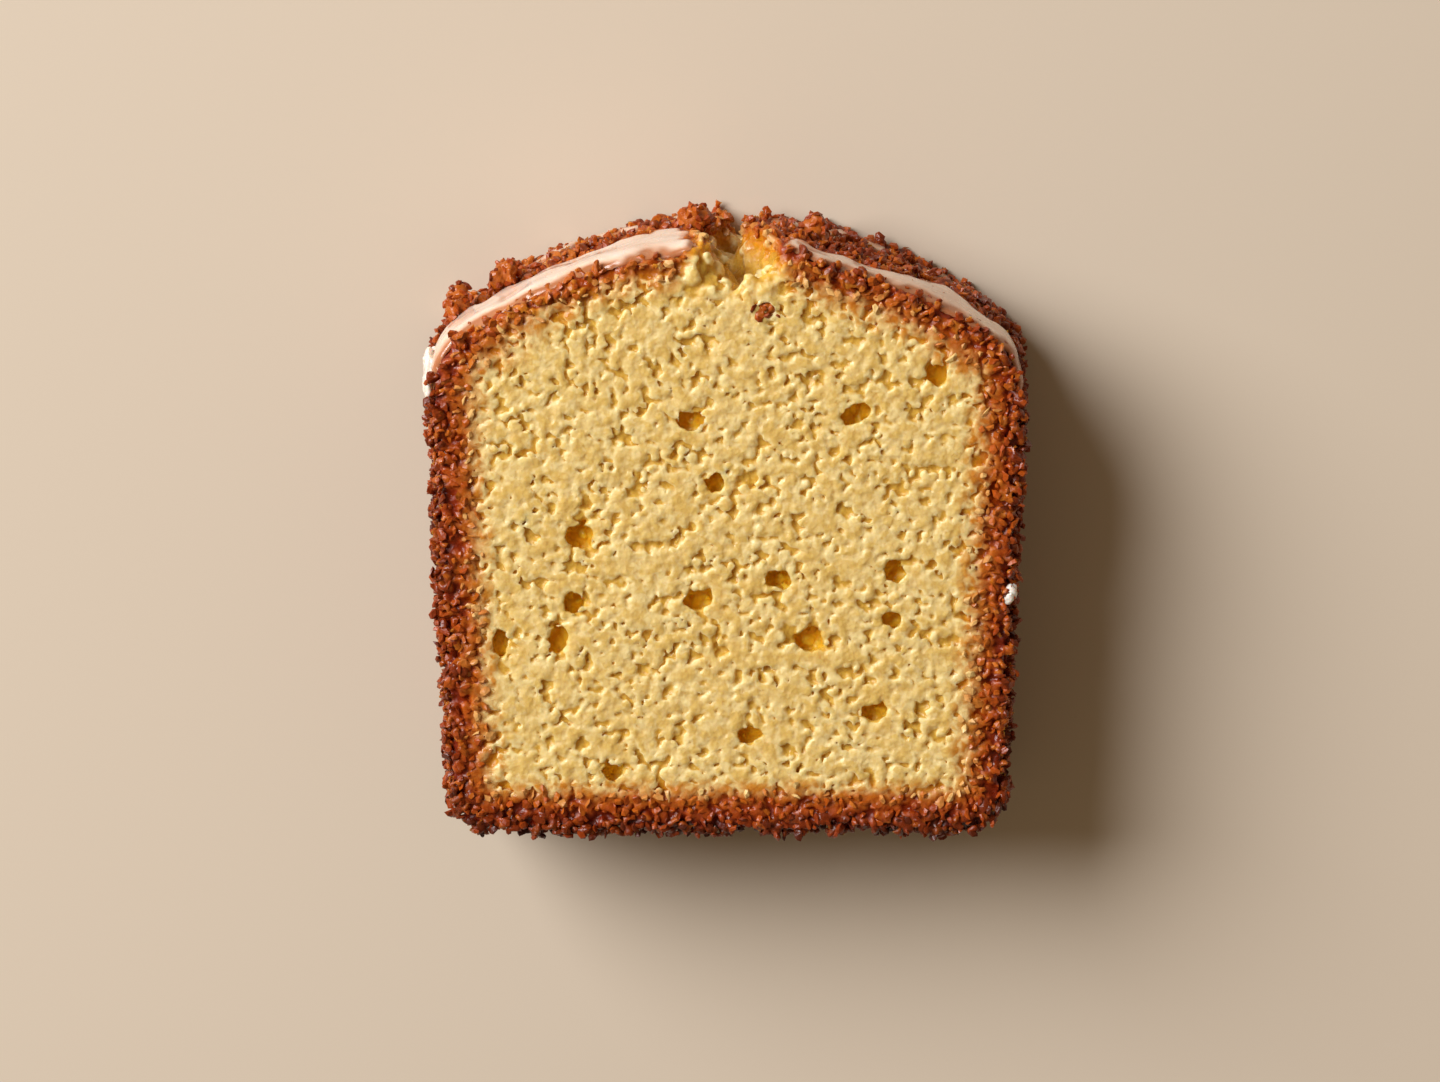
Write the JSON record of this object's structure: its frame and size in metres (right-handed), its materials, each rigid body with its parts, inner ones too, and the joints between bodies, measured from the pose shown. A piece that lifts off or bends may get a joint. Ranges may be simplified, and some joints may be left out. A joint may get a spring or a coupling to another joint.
{
  "type": "pound cake slice",
  "caption": "Thick slice of glazed pound cake loaf with a knobbly browned crust, split crown and open golden crumb, lying flat on its rear cut face.",
  "frame": {"origin": "centre of the bounding box at the rear cut face, on which the slice lies", "axes": "+X across the loaf, +Y from the flat baked base to the split crown, +Z along the loaf, out of the cut face that shows"},
  "size_m": [0.0884, 0.0918, 0.028],
  "materials": {
    "golden_crumb": "soft, porous pale golden cake crumb with a slight moist sheen",
    "browned_crust": "knobbly caramelised crust, amber to dark brown, with small wet glints",
    "sugar_glaze": "thin, slightly translucent white sugar glaze, satin"
  },
  "bodies": {
    "root": {"cake_slice": "golden_crumb"}
  },
  "joints": []
}
